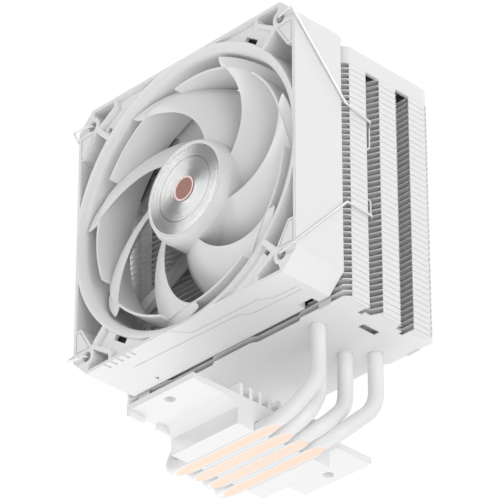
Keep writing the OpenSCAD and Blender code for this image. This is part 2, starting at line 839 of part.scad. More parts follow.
module fins() color(white)
    for (i = [0 : fin_count - 1])
        translate([0, 0, fin_first_z + i * fin_pitch]) fin(i == 0 ? first_flange : flange_h);

// Rounded rectangle made of two bars and four round corners
module soft_rect(w, d, r) {
    square([w - 2 * r, d], center = true);
    square([w, d - 2 * r], center = true);
    for (x = [-1, 1], y = [-1, 1])
        translate([x * (w / 2 - r), y * (d / 2 - r)]) circle(r = r);
}

module top_cover() color(white)
    translate([0, fin_mid_y, fin_top_z]) difference() {
        linear_extrude(cover_h) soft_rect(fin_w, fin_depth, cover_corner);
        translate([0, 0, -eps]) linear_extrude(cover_h - cover_wall)
            soft_rect(fin_w - 2 * cover_wall, fin_depth - 2 * cover_wall,
                cover_corner - cover_wall);
    }

// Section of a pipe where it is pressed flat in the base, lying along X
module flat_section(spare) {
    w = flat_w + 2 * spare;
    r = flat_round + spare;
    translate([-w / 2, 0]) square([w, flat_h - flat_round]);
    translate([-(w / 2 - r), 0]) square([w - 2 * r, flat_h + spare]);
    for (x = [-1, 1])
        translate([x * (w / 2 - r), flat_h - flat_round]) circle(r = r);
}

// A flat section or a round one stood up across X, as a thin slice or a long bar
module along_x(x, length) {
    translate([x, 0, 0]) rotate([90, 0, 90]) linear_extrude(length) children();
}

// Route of the right half of a pipe: along the base, up and back, then upright through the fins
function half_route(i) =
    let (y = (i - middle_row) * pipe_pitch)
    [[0, y, pipe_axis_z], [pipe_corner_x[i], y, pipe_axis_z],
        [pipe_at(i).x, pipe_at(i).y, fin_first_z - bend_drop],
        [pipe_at(i).x, pipe_at(i).y, fin_top_z + pipe_top]];

// How flat a pipe is pressed: fully within the base, less and less past its side
function flatness(p) = max(0, min(1, (flat_end + flat_run - abs(p.x)) / flat_run));

// A number from -1 to 1, pushed towards its ends to make a round section square
function squared(c, f) = sign(c) * pow(abs(c), 1 - flat_square * f);

// One ring of a pipe, round or pressed, with everything below the contact face planed off
function pipe_ring(place, across, up, r) =
    let (f = flatness(place),
        wide = r + f * (flat_w / 2 - r),
        high = r + f * (flat_h - pipe_axis_z - r),
        low = r + f * flat_sag)
    [for (k = [0 : pipe_sides - 1])
        let (c = cos(360 / pipe_sides * k),
            s = sin(360 / pipe_sides * k),
            p = s > 0 ? place + wide * c * across + high * s * up
                : place + wide * squared(c, f) * across + low * s * up)
        [p.x, p.y, max(0, p.z)]];

// Rings of a pipe's right half, from the middle of the base to the tip
function half_rings(i) =
    let (route = half_route(i),
        flats = [for (x = [0, flat_end]) [[x, route[0].y, pipe_axis_z], [1, 0, 0]]],
        low_bend = corner_arc(route[0], route[1], route[2], bend_r, bend_steps),
        high_bend = corner_arc(route[1], route[2], route[3], upper_bend_r, upper_steps),
        path = carried(concat(flats, low_bend, high_bend, [[route[3], [0, 0, 1]]]), [0, 1, 0]),
        end = path[len(path) - 1])
    concat([for (s = path) pipe_ring(s[0], s[1], s[2], pipe_r)],
        [pipe_ring(end[0] + [0, 0, pipe_tip], end[1], end[2], pipe_r / 2)]);

module heat_pipe(i) color(white) {
    right = half_rings(i);
    left = [for (k = [len(right) - 1 : -1 : 1]) [for (p = right[k]) [-p.x, p.y, p.z]]];
    sweep(concat(left, right));
}

module heat_pipe_1() heat_pipe(0);
module heat_pipe_2() heat_pipe(1);
module heat_pipe_3() heat_pipe(2);
module heat_pipe_4() heat_pipe(3);

// Half of the extruded section of the base, seen along X: block, sloped skirt and ear
module base_half_section() {
    b = block_d / 2;
    polygon([[0, 0], [b, 0], [b, skirt_h], [b + skirt_run, ear_under], [ear_y, ear_under],
        [ear_y, ear_top], [0, ear_top]]);
}

module base_block() color(white) difference() {
    union() {
        along_x(-block_w / 2, block_w) {
            base_half_section();
            mirror([1, 0]) base_half_section();
        }
        for (i = [0 : rib_count - 1])
            translate([-block_w / 2, (i - (rib_count - 1) / 2) * rib_pitch - rib_t / 2, ear_top - eps])
                cube([block_w, rib_t, rib_h + eps]);
    }
    for (i = pipe_rows)
        along_x(-block_w / 2 - over, block_w + 2 * over) translate([(i - middle_row) * pipe_pitch, -eps])
            flat_section(pipe_gap);
    for (s = [-1, 1])
        translate([0, s * ear_hole_pitch / 2, ear_under - over])
            cylinder(d = ear_hole_d, h = ear_t + 2 * over);
}

fan_frame();
rubber_pads();
impeller();
hub_trim_disc();
hub_centre_disc();
rotor_cup();
magnet_ring();
shaft();
shaft_bush();
shaft_clip();
sleeve_bearing();
bearing_cap();
stator_core();
stator_insulators();
stator_coils();
motor_board();
clip_right();
clip_left();
fins();
top_cover();
heat_pipe_1();
heat_pipe_2();
heat_pipe_3();
heat_pipe_4();
base_block();
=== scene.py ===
import json
import math

import bmesh
import bpy
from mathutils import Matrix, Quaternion, Vector


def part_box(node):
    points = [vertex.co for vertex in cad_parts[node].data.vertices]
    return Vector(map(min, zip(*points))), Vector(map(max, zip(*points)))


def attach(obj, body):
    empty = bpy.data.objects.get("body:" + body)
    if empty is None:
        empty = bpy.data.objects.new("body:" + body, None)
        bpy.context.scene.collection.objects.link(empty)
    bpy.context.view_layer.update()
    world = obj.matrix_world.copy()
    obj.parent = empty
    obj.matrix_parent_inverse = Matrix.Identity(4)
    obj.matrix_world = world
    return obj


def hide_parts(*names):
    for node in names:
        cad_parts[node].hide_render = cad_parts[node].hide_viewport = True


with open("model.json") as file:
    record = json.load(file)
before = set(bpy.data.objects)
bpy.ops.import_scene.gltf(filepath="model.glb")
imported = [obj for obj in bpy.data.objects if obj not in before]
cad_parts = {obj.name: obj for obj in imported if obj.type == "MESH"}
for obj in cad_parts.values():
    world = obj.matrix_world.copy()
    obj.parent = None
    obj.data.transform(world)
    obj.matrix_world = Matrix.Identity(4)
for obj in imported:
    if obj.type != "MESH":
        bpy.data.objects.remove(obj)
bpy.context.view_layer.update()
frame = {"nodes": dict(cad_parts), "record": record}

# Base block
# Extruded aluminium with a sloped skirt, cooling ribs on top and two ears, one with a low broken lip.
# It is powder coated white, then its underside is planed flush with the pipes.

mm = 0.001
coat_white = 0.86
coat_uneven = 0.012
ear_under = 9.9 * mm
lip_drop = 2.1 * mm
lip_t = 1.1 * mm
lip_sink = 0.4 * mm
lip_inset = 0.02 * mm
lip_gap = (-38.8 * mm, -32.0 * mm)
lip_end = -25.0 * mm


class Signal:
    """A value in a node tree, which plain arithmetic can be done on."""

    def __init__(self, tree, socket):
        self.tree = tree
        self.socket = socket

    def math(self, operation, *values):
        """One Math node on signals or numbers."""
        node = self.tree.nodes.new("ShaderNodeMath")
        node.operation = operation
        for socket, value in zip(node.inputs, values):
            feed(self.tree, socket, value)
        return Signal(self.tree, node.outputs[0])

    def __add__(self, other):
        return self.math("ADD", self, other)

    def __radd__(self, other):
        return self.math("ADD", other, self)

    def __sub__(self, other):
        return self.math("SUBTRACT", self, other)

    def __rsub__(self, other):
        return self.math("SUBTRACT", other, self)

    def __mul__(self, other):
        return self.math("MULTIPLY", self, other)

    def __rmul__(self, other):
        return self.math("MULTIPLY", other, self)

    def __truediv__(self, other):
        return self.math("DIVIDE", self, other)

    def __rtruediv__(self, other):
        return self.math("DIVIDE", other, self)

    def __gt__(self, other):
        return self.math("GREATER_THAN", self, other)

    def __lt__(self, other):
        return self.math("LESS_THAN", self, other)


def feed(tree, socket, value):
    """Sets a socket to a plain value, or links it to a signal or to each of a list of signals."""
    if isinstance(value, Signal):
        tree.links.new(value.socket, socket)
    elif isinstance(value, list):
        for signal in value:
            tree.links.new(signal.socket, socket)
    else:
        socket.default_value = value


class Bench:
    """A node tree, with one method that makes any node in it."""

    def __init__(self, tree):
        self.tree = tree

    def node(self, kind, settings=None, output=0, **inputs):
        """Settings come first, then the sockets by name, or by number as i0, i1 and so on."""
        made = self.tree.nodes.new(kind)
        for name, value in (settings or {}).items():
            setattr(made, name, value)
        for name, value in inputs.items():
            key = int(name[1:]) if name[0] == "i" and name[1:].isdigit() else name.replace("_", " ")
            feed(self.tree, made.inputs[key], value)
        return Signal(self.tree, made.outputs[output])


class Finish(Bench):
    """A surface finish: one Principled shader and the nodes that vary it."""

    def __init__(self, name):
        self.material = bpy.data.materials.new(name)
        self.material.use_nodes = True
        super().__init__(self.material.node_tree)
        self.shader = self.tree.nodes["Principled BSDF"]
        self.place = self.node("ShaderNodeTexCoord", output="Object")

    def noise(self, scale, detail=2.0, roughness=0.5):
        return self.node("ShaderNodeTexNoise", Vector=self.place, Scale=scale, Detail=detail,
                         Roughness=roughness)

    def lines(self, stretch):
        """Noise drawn out into lines along the axes that are stretched least."""
        stretched = self.node("ShaderNodeMapping", Vector=self.place, Scale=stretch)
        return self.node("ShaderNodeTexNoise", Vector=stretched, Scale=1.0, Detail=2.0)

    def blend(self, mask, low, high):
        return self.node("ShaderNodeMix", {"data_type": "RGBA"}, output=2, i0=mask, i6=low, i7=high)

    def vector(self, operation, output=0, **inputs):
        return self.node("ShaderNodeVectorMath", {"operation": operation}, output, **inputs)

    def split(self, vector):
        first = self.node("ShaderNodeSeparateXYZ", Vector=vector)
        return [Signal(self.tree, out) for out in first.socket.node.outputs]

    def bump(self, height, strength, distance, **normal):
        return self.node("ShaderNodeBump", Height=height, Strength=strength, Distance=distance, **normal)

    def round_edges(self, radius):
        return self.node("ShaderNodeBevel", {"samples": 6}, Radius=radius)

    def set(self, **inputs):
        for name, value in inputs.items():
            feed(self.tree, self.shader.inputs[name.replace("_", " ")], value)


def dress(node, finish):
    """Gives a CAD node its finish."""
    obj = frame["nodes"][node]
    obj.data.materials.clear()
    obj.data.materials.append(finish.material)


def grey(level):
    return (level, level, level, 1.0)


def white_coat(name, rough, grain, edge):
    """White powder coat or moulded white: a trace of unevenness, a fine skin and softened edges."""
    rough_spread = 0.05
    finish = Finish(name)
    cloud = finish.noise(38.0, detail=3.0)
    skin = finish.noise(grain, roughness=0.6)
    finish.set(Base_Color=finish.blend(cloud, grey(coat_white - coat_uneven), grey(coat_white + coat_uneven)),
               Roughness=rough - rough_spread + 2 * rough_spread * cloud,
               Normal=finish.bump(skin, strength=0.12, distance=0.04 * mm, Normal=finish.round_edges(edge)))
    return finish


def build(name, verts, faces, material, smooth=35.0):
    """Makes an object of points and faces, with its faces outward and smooth up to an angle."""
    shape = bmesh.new()
    points = [shape.verts.new(v) for v in verts]
    for face in faces:
        shape.faces.new([points[i] for i in face])
    bmesh.ops.remove_doubles(shape, verts=shape.verts, dist=1e-7)
    bmesh.ops.recalc_face_normals(shape, faces=shape.faces)
    mesh = bpy.data.meshes.new(name)
    shape.to_mesh(mesh)
    shape.free()
    soften(mesh, smooth)
    mesh.materials.append(material)
    obj = bpy.data.objects.new(name, mesh)
    bpy.context.scene.collection.objects.link(obj)
    return obj


def soften(mesh, angle):
    """Smooth shading, with edges sharper than the angle left sharp."""
    mesh.polygons.foreach_set("use_smooth", [True] * len(mesh.polygons))
    mesh.set_sharp_from_angle(angle=math.radians(angle))


base_coat = white_coat("base coat", rough=0.42, grain=2600.0, edge=0.3 * mm)
dress("base_block", base_coat)
block_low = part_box("base_block")[0]
lip_x = block_low[0] + lip_inset
lip_runs = ((block_low[1] + lip_inset, lip_gap[0]), (lip_gap[1], lip_end))
lip_verts = [(x, y, z) for run in lip_runs for x in (lip_x, lip_x + lip_t) for y in run
             for z in (ear_under - lip_drop, ear_under + lip_sink)]
bar_corners = 8
bar_faces = [(0, 1, 3, 2), (4, 5, 7, 6), (0, 1, 5, 4), (2, 3, 7, 6), (0, 2, 6, 4), (1, 3, 7, 5)]
lip_faces = [[i + bar_corners * bar for i in face] for bar in range(len(lip_runs)) for face in bar_faces]
ear_lip = build("ear_lip", lip_verts, lip_faces, base_coat.material)
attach(ear_lip, "cooler")

# Heat pipes
# Four copper pipes, bent into a U and coated white with the tower.
# Their undersides are pressed flat into the base and planed down to bare copper.

pipe_r = 3.0 * mm
pipe_pitch = 8.0 * mm
middle_row = 2.5
pressed_w = 6.4 * mm
pressed_h = 4.8 * mm
pressed_end = 20.0 * mm
pressed_run = 4.5 * mm
planed_sag = 2.0 * mm
planed_depth = 0.04 * mm
bare_w = 4.6 * mm
corner_square = 0.75
low_bend_r = 10.0 * mm
low_bend_steps = 18
high_bend_r = 15.0 * mm
high_bend_steps = 10
bend_drop = 22.5 * mm
tip_length = 1.6 * mm
tip_shares = (0.5, 0.85, 1.0)
tip_narrow = 0.5
pipe_sides = 48
fins_low, fins_high = (Vector(corner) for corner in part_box("fins"))
fins_middle = (fins_low + fins_high) / 2
lowest_fin = 42.5 * mm
outer_pipe = {"bend": 30.5 * mm, "x": 36.6 * mm, "spread": 15.4 * mm}
inner_pipe = {"bend": 32.0 * mm, "x": 28.7 * mm, "spread": 7.1 * mm}
copper_dark = (0.94, 0.69, 0.55, 1.0)
copper_light = (1.0, 0.78, 0.66, 1.0)


def loft(rings, start=0):
    """Points and faces through rings of equally many points, with both ends closed by strips."""
    n, last = len(rings[0]), len(rings) - 1
    faces = []
    for i in range(last):
        near, far = start + i * n, start + (i + 1) * n
        faces += [(near + j, near + (j + 1) % n, far + (j + 1) % n, far + j) for j in range(n)]
    for end in (start, start + last * n):
        faces += [(end + j, end + j + 1, end + n - 2 - j, end + n - 1 - j) for j in range(n // 2 - 1)]
    return [point for ring in rings for point in ring], faces


def corner_arc(before, corner, after, radius, steps):
    """Points and directions round one corner of a route."""
    go, leave = (corner - before).normalized(), (after - corner).normalized()
    turn = go.angle(leave)
    inward = (leave - go.dot(leave) * go).normalized()
    centre = corner - radius * math.tan(turn / 2) * go + radius * inward
    turns = [turn * k / steps for k in range(steps + 1)]
    return [(centre - radius * math.cos(q) * inward + radius * math.sin(q) * go,
             math.cos(q) * go + math.sin(q) * inward) for q in turns]


def pipe_ring(place, across, up, radius):
    """One section: pressed flat in the base, round beyond it, planed at the contact face."""
    flat = max(0.0, min(1.0, (pressed_end + pressed_run - abs(place.x)) / pressed_run))
    wide = radius + flat * (pressed_w / 2 - radius)
    high = radius + flat * (pressed_h / 2 - radius)
    low = radius + flat * planed_sag
    ring = []
    for k in range(pipe_sides):
        c, s = math.cos(math.tau * k / pipe_sides), math.sin(math.tau * k / pipe_sides)
        if s < 0:
            c = math.copysign(abs(c) ** (1 - corner_square * flat), c)
        point = place + wide * c * across + (high if s > 0 else low) * s * up
        ring.append((point.x, point.y, max(0.0, point.z)))
    return ring


def heat_pipe(row, shape, side):
    """A whole pipe, made from the middle of the base to the right tip and mirrored."""
    y = (row - middle_row) * pipe_pitch
    axis = pressed_h / 2
    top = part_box(f"heat_pipe_{row}")[1][2] - tip_length
    fin_y = fins_middle.y + side * shape["spread"]
    route = [Vector((0, y, axis)), Vector((shape["bend"], y, axis)),
             Vector((shape["x"], fin_y, lowest_fin - bend_drop)), Vector((shape["x"], fin_y, top))]
    path = [(Vector((x, y, axis)), Vector((1, 0, 0))) for x in (0.0, pressed_end)]
    path += corner_arc(*route[:3], low_bend_r, low_bend_steps)
    path += corner_arc(*route[1:], high_bend_r, high_bend_steps)
    path.append((route[3], Vector((0, 0, 1))))
    across, rings = Vector((0, 1, 0)), []
    for place, go in path:
        across = (across - across.dot(go) * go).normalized()
        rings.append(pipe_ring(place, across, go.cross(across), pipe_r))
    for share in tip_shares:
        lift = Vector((0, 0, share * tip_length))
        narrowed = pipe_r * (1 - tip_narrow * share ** 2)
        rings.append(pipe_ring(route[3] + lift, across, go.cross(across), narrowed))
    left = [[(-x, y, z) for x, y, z in ring] for ring in reversed(rings[1:])]
    return loft(left + rings)


pipe_coat = Finish("pipe coat")
cloud = pipe_coat.noise(60.0, detail=3.0)
_, along, height = pipe_coat.split(pipe_coat.place)
off_middle = pipe_pitch * along.math("ABSOLUTE", along.math("FRACT", along / pipe_pitch) - 0.5)
bare = (height < planed_depth) * (off_middle < bare_w / 2)
copper = pipe_coat.blend(pipe_coat.lines((30.0, 3000.0, 1.0)), copper_dark, copper_light)
coat = pipe_coat.blend(cloud, grey(0.84), grey(0.87))
pipe_coat.set(Base_Color=pipe_coat.blend(bare, coat, copper), Metallic=0.2 * bare,
              Roughness=0.36 + 0.06 * cloud - 0.02 * bare)
for row, shape, side in ((1, outer_pipe, -1), (2, inner_pipe, -1), (3, inner_pipe, 1), (4, outer_pipe, 1)):
    pipe = build(f"bent_pipe_{row}", *heat_pipe(row, shape, side), pipe_coat.material)
    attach(pipe, "cooler")
    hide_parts(f"heat_pipe_{row}")

# Fins
# Thin aluminium sheets, stamped and folded at their sides so that the flanges close the columns.
# They are pressed onto the pipes and coated white.

dress("fins", white_coat("fin coat", rough=0.4, grain=3000.0, edge=0.08 * mm))

# Top cover
# A hollow cap, injection moulded in white plastic with a smooth satin skin.
# It sits on the highest fin and hides the ends of the pipes.

dress("top_cover", white_coat("cover skin", rough=0.38, grain=2200.0, edge=0.6 * mm))

# Rubber pads
# Four moulded spacers of black rubber, which keep the fan's hum off the fins.
# Their plugs sit in slots of the frame's corners and show through them.

rubber = Finish("black rubber")
speck = rubber.noise(900.0, detail=3.0)
rubber.set(Base_Color=rubber.blend(speck, grey(0.004), grey(0.012)), Roughness=0.6 + 0.2 * speck,
           Specular_IOR_Level=0.15, Normal=rubber.bump(speck, strength=0.3, distance=0.05 * mm))
dress("rubber_pads", rubber)

# Fan frame
# Injection moulded in one piece of white plastic, with a satin spark-eroded skin.
# Beside one of its back struts runs an open trough, in which the motor's wires lie.

spin = next(joint for joint in frame["record"]["behaviour"]["joints"] if joint["name"] == "rotor_spin")
axis_z = spin["pos_m"][2]
face_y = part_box("fan_frame")[0][1]
trough_turn = math.radians(118.0)
trough_in = 21.5 * mm
trough_out = 58.5 * mm
trough_floor = 22.05 * mm
trough_rear = 24.9 * mm
trough_wall = 1.0 * mm
trough_near = 2.2 * mm
trough_far = 9.8 * mm
frame_skin = white_coat("frame skin", rough=0.4, grain=3200.0, edge=0.4 * mm)
dress("fan_frame", frame_skin)
trough_section = [(trough_near, trough_floor), (trough_far, trough_floor), (trough_far, trough_rear),
                  (trough_far - trough_wall, trough_rear),
                  (trough_far - trough_wall, trough_floor + trough_wall),
                  (trough_near, trough_floor + trough_wall)]
trough_verts = []
for reach in (trough_in, trough_out):
    for side, depth in trough_section:
        along = math.sqrt(reach ** 2 - side ** 2)
        trough_verts.append((along * math.cos(trough_turn) + side * math.sin(trough_turn), face_y + depth,
                             axis_z + along * math.sin(trough_turn) - side * math.cos(trough_turn)))
corners = len(trough_section)
trough_ends = [(0, 1, 4, 5), (1, 2, 3, 4)]
trough_faces = trough_ends + [[i + corners for i in face] for face in trough_ends]
trough_faces += [(i, (i + 1) % corners, (i + 1) % corners + corners, i + corners) for i in range(corners)]
trough = build("wire_trough", trough_verts, trough_faces, frame_skin.material)
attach(trough, "cooler")

# Motor
# The pieces sealed between hub and motor seat: steel cup, magnet, shaft, bearing, coils and board.
# They are stamped, turned, sintered, wound or moulded, and pressed together about the fan axis.

motor_rough_spread = 0.08
nylon_dark = (0.66, 0.62, 0.5, 1.0)
nylon_light = (0.74, 0.7, 0.58, 1.0)


def plain_metal(name, dark, light, rough, stretch, metallic=1.0):
    """Turned or stamped metal with fine lines along one direction."""
    finish = Finish(name)
    lines = finish.lines(stretch)
    finish.set(Base_Color=finish.blend(lines, dark, light), Metallic=metallic,
               Roughness=rough - motor_rough_spread + 2 * motor_rough_spread * lines)
    return finish


def plain_mould(name, dark, light, rough):
    """Moulded plastic or board with a slightly uneven colour."""
    finish = Finish(name)
    cloud = finish.noise(400.0, detail=3.0)
    finish.set(Base_Color=finish.blend(cloud, dark, light),
               Roughness=rough - motor_rough_spread + 2 * motor_rough_spread * cloud)
    return finish


dress("stator_core", plain_metal("lamination steel", grey(0.16), grey(0.28), rough=0.45,
                                 stretch=(80.0, 6000.0, 80.0)))
dress("stator_coils", plain_metal("enamelled wire", (0.42, 0.14, 0.05, 1.0), (0.6, 0.24, 0.1, 1.0), rough=0.35,
                                  stretch=(3000.0, 3000.0, 3000.0)))
dress("sleeve_bearing", plain_metal("sintered bronze", (0.38, 0.25, 0.1, 1.0), (0.5, 0.34, 0.16, 1.0), rough=0.5,
                                    stretch=(2500.0, 2500.0, 2500.0)))
dress("shaft_bush", plain_metal("turned brass", (0.45, 0.32, 0.12, 1.0), (0.56, 0.42, 0.18, 1.0), rough=0.35,
                                stretch=(400.0, 4000.0, 400.0)))
steel = plain_metal("motor steel", grey(0.32), grey(0.45), rough=0.35, stretch=(300.0, 4000.0, 300.0))
dress("rotor_cup", steel)
dress("shaft", steel)
dress("stator_insulators", plain_mould("nylon", nylon_dark, nylon_light, rough=0.5))
dress("shaft_clip", plain_mould("clip nylon", nylon_dark, nylon_light, rough=0.5))
dress("magnet_ring", plain_mould("bonded magnet", grey(0.02), grey(0.035), rough=0.6))
dress("bearing_cap", plain_mould("dark cap", grey(0.02), grey(0.03), rough=0.5))
dress("motor_board", plain_mould("board resist", (0.01, 0.09, 0.04, 1.0), (0.015, 0.13, 0.06, 1.0), rough=0.4))

# Impeller
# Hub, seven swept blades and the ring that joins them, moulded in one piece of white plastic.
# Outside the ring each blade runs on as a short pointed tip.

blade_count = 7
hub_r = 22.0 * mm
hub_nose_r = 20.4 * mm
hub_bore_r = 0.4 * mm
hub_wall = 1.6 * mm
hub_front = 0.7 * mm
hub_rear = 19.5 * mm
hub_soft = 0.35 * mm
hub_draft = 0.05 * mm
hub_steps = 160
nose_depth = 4.0 * mm
hub_face_t = 2.0 * mm
trim_seat_r = 19.55 * mm
trim_t = 0.5 * mm
band_r = 51.1 * mm
band_t = 1.1 * mm
band_soft = 0.25 * mm
band_front = 2.5 * mm
band_rear = 19.7 * mm
band_hidden = 20.5
band_steps = 60
step_before, step_after = 0.01, 0.25
tip_r = 55.6 * mm
blade_turn = 22.0
blade_sweep = 45.6
sweep_even, sweep_late = 0.92, 0.08
tip_step = 1.2
tip_lead = 3.0
tip_camber = 0.5
root_camber = 0.6
chord_root, chord_tip = 60.0, 38.0
chord_fall = 2.5
root_front, ring_front, tip_front = 5.0 * mm, 2.4 * mm, 1.5 * mm
blade_rear = 18.5 * mm
blade_t = 2.0 * mm
blade_rows = 26
blade_columns = 22
tip_rows = 10
tip_full = 0.94
tip_rounding = [(0.975, 0.9), (0.993, 0.7), (1.0, 0.4)]
edge_share = 0.3
edge_round = 0.014
smooth_angle = 35.0


def fan_point(radius, turn, depth):
    """A point of the fan: radius, angle in degrees and depth behind the frame's face."""
    a = math.radians(turn)
    return (radius * math.cos(a), face_y + depth, radius * math.sin(a))


def inner_station(u):
    """Radius, lead, chord, front depth and camber of the blade between hub and ring."""
    root = hub_r - hub_wall / 2
    radius = root + (band_r + band_t / 4 - root) * u
    s = max(0.0, (radius - hub_r) / (band_r - hub_r))
    t = max(0.0, 1 - s)
    return (radius, blade_turn + blade_sweep * (sweep_even * s + sweep_late * s ** 5),
            chord_tip + (chord_root - chord_tip) * t ** chord_fall,
            root_front + (ring_front - root_front) * s ** 4, root_camber * t)


def tip_station(u):
    """The same for the tip outside the ring."""
    root = band_r - band_t / 4
    return (root + (tip_r - root) * u,
            blade_turn + blade_sweep + tip_step + tip_lead * math.sin(math.pi / 2 * u),
            chord_tip, ring_front + (tip_front - ring_front) * u, tip_camber * u)


def blade_depth(station, v):
    """Depth of the blade's front face at a share of its chord."""
    _, _, _, front, camber = station
    return front + (blade_rear - front) * (camber * v + (1 - camber) * v * v)


def blade_thick(v):
    """Thickness along the chord, thin and rounded at both edges."""
    near = min(1.0, min(v, 1 - v) / edge_round)
    return blade_t * (edge_share + (1 - edge_share) * math.sin(math.pi * v)) * math.sqrt(near * (2 - near))


def blade_section(station, thick):
    """A closed loop along the front face and back along the rear face."""
    radius, lead, chord, _, _ = station
    loop = []
    for j in range(2 * blade_columns):
        v = (1 - math.cos(math.pi * j / blade_columns)) / 2
        behind = thick * blade_thick(v) if j > blade_columns else (1 - thick) * blade_thick(v) / 2
        loop.append(fan_point(radius, lead - chord * v, blade_depth(station, v) + behind))
    return loop


def one_blade():
    """The blade from hub to ring, and its tip, which starts inside the ring."""
    inner, inner_faces = loft([blade_section(inner_station(i / blade_rows), 1.0) for i in range(blade_rows + 1)])
    ends = [(i / tip_rows * tip_full, 1.0) for i in range(tip_rows + 1)] + tip_rounding
    tip, tip_faces = loft([blade_section(tip_station(u), thick) for u, thick in ends], len(inner))
    return inner + tip, inner_faces + tip_faces


def closed_band(steps, n):
    """Faces of a closed ring of sections, each a loop of n points."""
    return [(k * n + j, k * n + (j + 1) % n, (k + 1) % steps * n + (j + 1) % n, (k + 1) % steps * n + j)
            for k in range(steps) for j in range(n)]


def lathe(profile, steps):
    """A closed profile of radius and depth turned about the fan axis."""
    verts = [fan_point(radius, 360 * k / steps, depth) for k in range(steps) for radius, depth in profile]
    return verts, closed_band(steps, len(profile))


def band_edge(turn):
    """Depth of the ring's front edge: free before a blade, under the blade behind its front edge."""
    station = inner_station(1)
    _, lead, chord, _, _ = station
    behind = (lead - turn) % (360 / blade_count)
    v = behind / chord
    return blade_depth(station, v) + blade_thick(v) / 2 if behind < band_hidden else band_front


def joining_ring():
    """The ring, in steps of whole blades with one extra place at each free end."""
    lead = inner_station(1)[1]
    pitch = 360 / blade_count
    places = sorted([pitch * k / band_steps for k in range(band_steps)]
                    + [band_hidden - step_before, band_hidden + step_after])
    turns = [lead - i * pitch - q for i in range(blade_count) for q in places]
    half = band_t / 2
    sections = []
    for turn in turns:
        front = band_edge(turn)
        sections.append([fan_point(band_r + radius, turn, depth)
                         for radius, depth in ((-half, front + band_soft), (band_soft - half, front),
                                               (half - band_soft, front), (half, front + band_soft),
                                               (half, band_rear), (-half, band_rear))])
    return [point for section in sections for point in section], closed_band(len(sections), len(sections[0]))


class Pattern(Bench):
    """A geometry tree with named inputs."""

    def __init__(self, name, result, **kinds):
        super().__init__(bpy.data.node_groups.new(name, "GeometryNodeTree"))
        sockets = self.tree.interface
        self.keys = {label: sockets.new_socket(label, in_out="INPUT", socket_type=kind).identifier
                     for label, kind in kinds.items()}
        sockets.new_socket(result, in_out="OUTPUT", socket_type="NodeSocketGeometry")
        given = self.tree.nodes.new("NodeGroupInput").outputs
        self.given = {label: Signal(self.tree, given[label]) for label in kinds}

    def end(self, geometry, material):
        """Makes the instances real, sets the material and closes the tree."""
        real = self.node("GeometryNodeRealizeInstances", Geometry=geometry)
        skinned = self.node("GeometryNodeSetMaterial", Geometry=real, Material=material)
        feed(self.tree, self.tree.nodes.new("NodeGroupOutput").inputs[0], skinned)

    def make(self, host, smooth, **values):
        """Runs the tree on a host object, which keeps the result as a plain mesh."""
        modifier = host.modifiers.new(self.tree.name, "NODES")
        modifier.node_group = self.tree
        for label, value in values.items():
            modifier[self.keys[label]] = value
        evaluated = host.evaluated_get(bpy.context.evaluated_depsgraph_get())
        mesh = bpy.data.meshes.new_from_object(evaluated)
        host.modifiers.remove(modifier)
        host.data = mesh
        soften(mesh, smooth)


blade_skin = white_coat("blade skin", rough=0.36, grain=3200.0, edge=0.3 * mm)
seat = hub_front + trim_t
nose = hub_front + nose_depth
rim_soft = hub_soft / 3
hub_profile = [(hub_bore_r, seat), (trim_seat_r, seat), (trim_seat_r, hub_front + rim_soft),
               (trim_seat_r + rim_soft, hub_front), (hub_nose_r - hub_soft, hub_front),
               (hub_nose_r, hub_front + hub_soft), (hub_r - hub_draft, nose - hub_soft), (hub_r, nose),
               (hub_r, hub_rear), (hub_r - hub_wall, hub_rear), (hub_r - hub_wall, nose),
               (hub_nose_r - hub_wall, hub_front + hub_face_t), (hub_bore_r, hub_front + hub_face_t)]
hub_verts, hub_faces = lathe(hub_profile, hub_steps)
ring_verts, ring_faces = joining_ring()
core = build("hub_and_ring", hub_verts + ring_verts,
             hub_faces + [[i + len(hub_verts) for i in face] for face in ring_faces], blade_skin.material)
blade = build("one_blade", *one_blade(), blade_skin.material)

pattern = Pattern("blade pattern", "Impeller", Core="NodeSocketGeometry", Blade="NodeSocketObject",
                  Count="NodeSocketInt", Skin="NodeSocketMaterial")
places = pattern.node("GeometryNodeMeshLine", Count=pattern.given["Count"], Offset=(0.0, 0.0, 0.0))
turn = math.tau * pattern.node("GeometryNodeInputIndex") / pattern.given["Count"]
blades = pattern.node("GeometryNodeInstanceOnPoints", Points=places,
                      Instance=pattern.node("GeometryNodeObjectInfo", output="Geometry",
                                            Object=pattern.given["Blade"]),
                      Rotation=pattern.node("ShaderNodeCombineXYZ", Y=turn))
joined = pattern.node("GeometryNodeJoinGeometry", Geometry=[pattern.given["Core"], blades])
raised = pattern.node("GeometryNodeTransform", Geometry=joined, Translation=(0.0, 0.0, axis_z))
pattern.end(raised, pattern.given["Skin"])
pattern.make(core, smooth_angle, Blade=blade, Count=blade_count, Skin=blade_skin.material)
bpy.data.objects.remove(blade)
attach(core, "rotor")
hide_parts("impeller")

# Hub discs
# A turned aluminium disc pressed into the hub's face, with a fine groove whose shade is painted as a dark ring,
# and a white outer edge.
# A small anodised disc with a bright bevelled rim sits in its middle.

hub_axis = (0.0, face_y, axis_z)
off_axis_only = (1.0, 0.0, 1.0)
groove_r = 13.5 * mm
groove_w = 0.25 * mm
cut_pitch = 0.003 * mm
flank_tilt = 0.1
flank_spread = 0.2
metal_r = 18.8 * mm
rose_r = 4.5 * mm
rose_dark = (0.19, 0.085, 0.07, 1.0)
rose_light = (0.24, 0.11, 0.09, 1.0)
rose_rim = (0.62, 0.46, 0.42, 1.0)


def off_axis(finish):
    """The way out from the fan axis, and its length."""
    outward = finish.vector("SUBTRACT", i0=finish.place, i1=hub_axis)
    outward = finish.vector("MULTIPLY", i0=outward, i1=off_axis_only)
    return outward, finish.vector("LENGTH", output=1, i0=outward)


